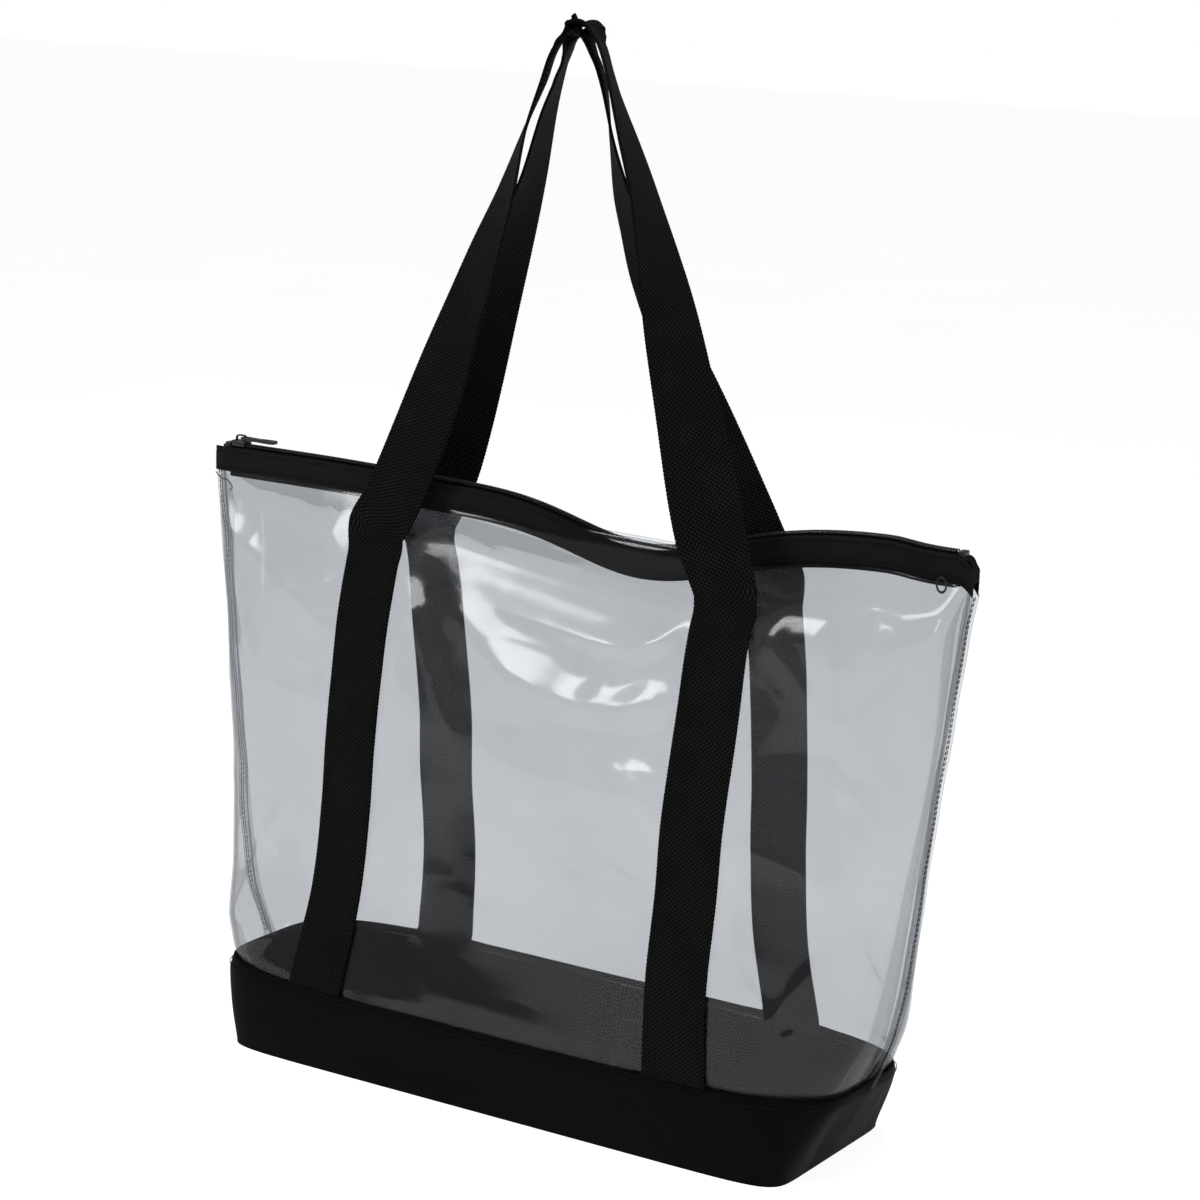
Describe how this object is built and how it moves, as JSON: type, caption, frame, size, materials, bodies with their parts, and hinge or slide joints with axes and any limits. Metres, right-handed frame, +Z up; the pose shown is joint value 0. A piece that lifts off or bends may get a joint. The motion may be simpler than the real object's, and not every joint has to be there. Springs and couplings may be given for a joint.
{
  "type": "clear beach bag",
  "caption": "Clear vinyl tote bag with a boxed black fabric base, a zipped top and two long webbing carrying handles.",
  "frame": {"origin": "centre of the underside of the base, on the surface the bag stands on", "axes": "+X along the bag towards the right side seam, -Y towards the front, +Z up"},
  "size_m": [0.4994, 0.14, 0.6035],
  "materials": {
    "clear_vinyl": "glossy flexible clear vinyl sheet",
    "base_fabric": "matte coated polyester",
    "band_fabric": "matte woven binding",
    "webbing": "ribbed polypropylene webbing",
    "zip_tape": "fine woven tape",
    "zip_coil": "nylon coil",
    "slider_metal": "black painted zinc",
    "thread": "twisted polyester thread"
  },
  "bodies": {
    "bag": {"base_bottom": "base_fabric", "base_wall": "base_fabric", "base_seam_thread": "thread", "front_panel": "clear_vinyl", "back_panel": "clear_vinyl", "right_side_seam": "clear_vinyl", "left_side_seam": "clear_vinyl", "right_seam_thread": "thread", "left_seam_thread": "thread", "front_top_band": "band_fabric", "back_top_band": "band_fabric", "top_band_thread": "thread", "front_zip_tape": "zip_tape", "back_zip_tape": "zip_tape", "front_zip_coil": "zip_coil", "back_zip_coil": "zip_coil", "left_zip_stop": "zip_tape", "right_zip_stop": "zip_tape", "zip_tail": "zip_tape", "front_left_strap": "webbing", "front_right_strap": "webbing", "back_right_strap": "webbing", "back_left_strap": "webbing", "strap_bar_tacks": "thread"},
    "slider": {"zip_slider_body": "slider_metal", "zip_slider_bridge": "slider_metal"},
    "pull": {"zip_pull": "slider_metal"},
    "front_handle_loop": {"front_handle": "webbing"},
    "back_handle_loop": {"back_handle": "webbing"}
  },
  "joints": [
    {"name": "zip_slide", "type": "slide", "parent": "bag", "child": "slider", "axis": [1, 0, 0], "range_m": [0, 0.464]},
    {"name": "pull_swing", "type": "hinge", "parent": "slider", "child": "pull", "pos_m": [-0.2306, 0, 0.3479], "axis": [0, -1, 0], "range_deg": [0, 150]},
    {"name": "front_handle_fold", "type": "hinge", "parent": "bag", "child": "front_handle_loop", "pos_m": [-0.1205, -0.01818, 0.30318], "axis": [0.9972, -0.0743, 0], "range_deg": [0, 130]},
    {"name": "back_handle_fold", "type": "hinge", "parent": "bag", "child": "back_handle_loop", "pos_m": [0.1205, 0.01818, 0.30318], "axis": [-0.9972, 0.0743, 0], "range_deg": [0, 130]}
  ]
}
